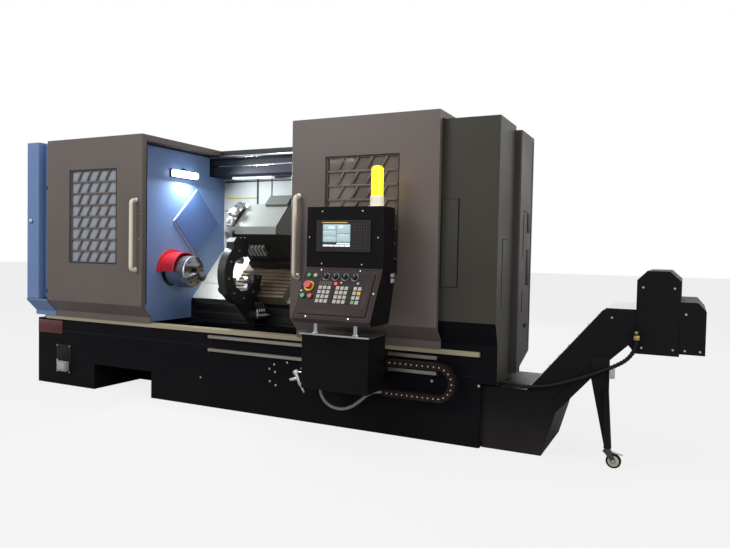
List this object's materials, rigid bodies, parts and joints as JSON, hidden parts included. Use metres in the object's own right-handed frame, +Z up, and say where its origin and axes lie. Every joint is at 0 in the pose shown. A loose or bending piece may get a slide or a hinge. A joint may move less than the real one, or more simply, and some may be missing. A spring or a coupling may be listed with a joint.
{
  "type": "cnc turning lathe",
  "caption": "Slant-bed turning lathe with sliding doors, chuck, tool turret, steady rest, tailstock, sliding control pendant and chip conveyor.",
  "frame": {"origin": "on the floor, in the middle of the machine's length and depth", "axes": "+X from the headstock end to the chip outlet, +Y from the operator's side to the back, +Z up"},
  "size_m": [5.28, 1.645, 2.095],
  "materials": {
    "base_black": "semi-gloss paint",
    "cast_grey": "machined and painted iron",
    "ground_steel": "ground",
    "motor_grey": "matt paint",
    "belt_rubber": "matt",
    "chuck_steel": "turned",
    "guard_red": "gloss paint",
    "cover_steel": "satin sheet",
    "carriage_brown": "satin paint",
    "slide_grey": "satin paint",
    "turret_steel": "ground and blackened",
    "steady_grey": "satin paint",
    "cover_blue": "satin paint",
    "lamp_lens": "frosted lens",
    "rear_grey": "satin paint",
    "rear_dark": "satin paint",
    "track_beige": "satin paint",
    "cover_graphite": "satin paint",
    "cabinet_grey": "satin paint",
    "door_grey": "satin paint",
    "window_glass": "safety glass",
    "handle_cream": "smooth",
    "rail_chrome": "polished",
    "pendant_black": "fine texture paint",
    "display_grey": "moulded",
    "panel_brown": "printed film",
    "stop_red": "moulded",
    "start_green": "moulded",
    "beacon_yellow": "moulded lens",
    "chain_black": "moulded",
    "conduit_grey": "ribbed",
    "conveyor_black": "satin paint",
    "hose_black": "ribbed",
    "caster_steel": "zinc plated",
    "caster_tread": "matt"
  },
  "bodies": {
    "machine": {"base_casting": "base_black", "slant_bed": "cast_grey", "bed_guideways": "ground_steel", "headstock": "cast_grey", "spindle_motor": "motor_grey", "drive_belt": "belt_rubber", "chuck_guard": "guard_red", "way_cover_left_fixed": "cover_steel", "way_cover_right_fixed": "cover_steel", "left_end_cover": "cover_blue", "headstock_bulkhead": "cover_blue", "work_lamp": "lamp_lens", "rear_wall": "rear_grey", "rear_cover": "rear_dark", "door_track": "track_beige", "right_front_cover": "cover_graphite", "electrical_cabinet": "cabinet_grey", "pendant_rails": "rail_chrome", "cable_chain": "chain_black", "conveyor_housing": "conveyor_black", "conveyor_head": "conveyor_black", "conveyor_hose": "hose_black"},
    "spindle": {"spindle": "ground_steel", "chuck_body": "chuck_steel"},
    "jaw_1": {"chuck_jaw_1": "chuck_steel"},
    "jaw_2": {"chuck_jaw_2": "chuck_steel"},
    "jaw_3": {"chuck_jaw_3": "chuck_steel"},
    "motor_rotor": {"motor_pulley": "cast_grey"},
    "carriage": {"carriage": "carriage_brown", "way_cover_left_carriage": "cover_steel", "way_cover_right_carriage": "cover_steel"},
    "left_cover_middle": {"way_cover_left_middle": "cover_steel"},
    "cross_slide": {"cross_slide": "slide_grey"},
    "turret": {"turret_disc": "turret_steel"},
    "tailstock": {"tailstock_body": "cast_grey"},
    "quill": {"tailstock_quill": "ground_steel"},
    "steady": {"steady_frame": "steady_grey"},
    "steady_quill_1": {"steady_quill_1": "ground_steel"},
    "steady_quill_2": {"steady_quill_2": "ground_steel"},
    "steady_quill_3": {"steady_quill_3": "ground_steel"},
    "left_door": {"left_door": "door_grey", "left_door_grille": "door_grey", "left_door_glass": "window_glass", "left_door_handle": "handle_cream"},
    "right_door": {"right_door": "door_grey", "right_door_grille": "door_grey", "right_door_glass": "window_glass", "right_door_handle": "handle_cream"},
    "service_door": {"left_service_door": "cover_blue"},
    "pendant": {"pendant_column": "pendant_black", "pendant_housing": "pendant_black", "control_display": "display_grey", "operator_panel": "panel_brown", "beacon": "beacon_yellow", "conduit": "conduit_grey"},
    "emergency_stop": {"emergency_stop": "stop_red"},
    "cycle_start_button": {"cycle_start_button": "start_green"},
    "cycle_stop_button": {"cycle_stop_button": "stop_red"},
    "caster_fork": {"caster_fork": "caster_steel"},
    "caster_wheel": {"caster_wheel": "caster_tread"}
  },
  "joints": [
    {"name": "left_door_slide", "type": "slide", "parent": "machine", "child": "left_door", "axis": [1, 0, 0], "range_m": [0, 0.788]},
    {"name": "right_door_slide", "type": "slide", "parent": "machine", "child": "right_door", "axis": [-1, 0, 0], "range_m": [0, 0.588]},
    {"name": "service_door_hinge", "type": "hinge", "parent": "machine", "child": "service_door", "pos_m": [-2.628, -0.3168, 1.418], "axis": [0, 0, -1], "range_deg": [0, 90]},
    {"name": "spindle_spin", "type": "hinge", "parent": "machine", "child": "spindle", "pos_m": [-1.15, 0.0675, 1.013], "axis": [1, 0, 0], "continuous": true},
    {"name": "motor_spin", "type": "hinge", "parent": "machine", "child": "motor_rotor", "pos_m": [-2.165, 0.1625, 1.56], "axis": [1, 0, 0], "continuous": true},
    {"name": "jaw_1_slide", "type": "slide", "parent": "spindle", "child": "jaw_1", "axis": [0, 0, 1], "range_m": [-0.006, 0.006]},
    {"name": "jaw_2_slide", "type": "slide", "parent": "spindle", "child": "jaw_2", "axis": [0, -0.866, -0.5], "range_m": [-0.006, 0.006]},
    {"name": "jaw_3_slide", "type": "slide", "parent": "spindle", "child": "jaw_3", "axis": [0, 0.866, -0.5], "range_m": [-0.006, 0.006]},
    {"name": "carriage_slide", "type": "slide", "parent": "machine", "child": "carriage", "axis": [1, 0, 0], "range_m": [-0.02, 0.16]},
    {"name": "left_cover_middle_slide", "type": "slide", "parent": "machine", "child": "left_cover_middle", "axis": [1, 0, 0], "range_m": [-0.01, 0.08]},
    {"name": "cross_slide_slide", "type": "slide", "parent": "carriage", "child": "cross_slide", "axis": [0, 0.7071, 0.7071], "range_m": [-0.12, 0.03]},
    {"name": "turret_index", "type": "hinge", "parent": "cross_slide", "child": "turret", "pos_m": [-0.92, 0.43705, 1.38256], "axis": [1, 0, 0], "continuous": true},
    {"name": "tailstock_slide", "type": "slide", "parent": "machine", "child": "tailstock", "axis": [1, 0, 0], "range_m": [-0.05, 0.15]},
    {"name": "quill_slide", "type": "slide", "parent": "tailstock", "child": "quill", "axis": [1, 0, 0], "range_m": [-0.09, 0]},
    {"name": "steady_slide", "type": "slide", "parent": "machine", "child": "steady", "axis": [1, 0, 0], "range_m": [0, 0.25]},
    {"name": "steady_quill_1_slide", "type": "slide", "parent": "steady", "child": "steady_quill_1", "axis": [0, 0, 1], "range_m": [-0.04, 0.005]},
    {"name": "steady_quill_2_slide", "type": "slide", "parent": "steady", "child": "steady_quill_2", "axis": [0, -0.866, -0.5], "range_m": [-0.04, 0.005]},
    {"name": "steady_quill_3_slide", "type": "slide", "parent": "steady", "child": "steady_quill_3", "axis": [0, 0.866, -0.5], "range_m": [-0.04, 0.005]},
    {"name": "pendant_slide", "type": "slide", "parent": "machine", "child": "pendant", "axis": [1, 0, 0], "range_m": [-0.6, 0], "deforming": ["cable_chain"]},
    {"name": "emergency_stop_push", "type": "slide", "parent": "pendant", "child": "emergency_stop", "axis": [0, 0.8809, -0.4734], "range_m": [0, 0.004]},
    {"name": "cycle_start_push", "type": "slide", "parent": "pendant", "child": "cycle_start_button", "axis": [0, 0.8809, -0.4734], "range_m": [0, 0.004], "stiffness_N_per_m": 900, "springref_m": -0.002},
    {"name": "cycle_stop_push", "type": "slide", "parent": "pendant", "child": "cycle_stop_button", "axis": [0, 0.8809, -0.4734], "range_m": [0, 0.004], "stiffness_N_per_m": 900, "springref_m": -0.002},
    {"name": "caster_swivel", "type": "hinge", "parent": "machine", "child": "caster_fork", "pos_m": [2.16, -0.2345, 0.103], "axis": [0, 0, 1], "continuous": true},
    {"name": "caster_spin", "type": "hinge", "parent": "caster_fork", "child": "caster_wheel", "pos_m": [2.194, -0.2345, 0.042], "axis": [0, 1, 0], "continuous": true}
  ],
  "couplings": [
    {"joint": "motor_spin", "follows": "spindle_spin", "ratio": 1.6667},
    {"joint": "jaw_2_slide", "follows": "jaw_1_slide", "ratio": 1},
    {"joint": "jaw_3_slide", "follows": "jaw_1_slide", "ratio": 1},
    {"joint": "left_cover_middle_slide", "follows": "carriage_slide", "ratio": 0.5},
    {"joint": "steady_quill_2_slide", "follows": "steady_quill_1_slide", "ratio": 1},
    {"joint": "steady_quill_3_slide", "follows": "steady_quill_1_slide", "ratio": 1}
  ]
}
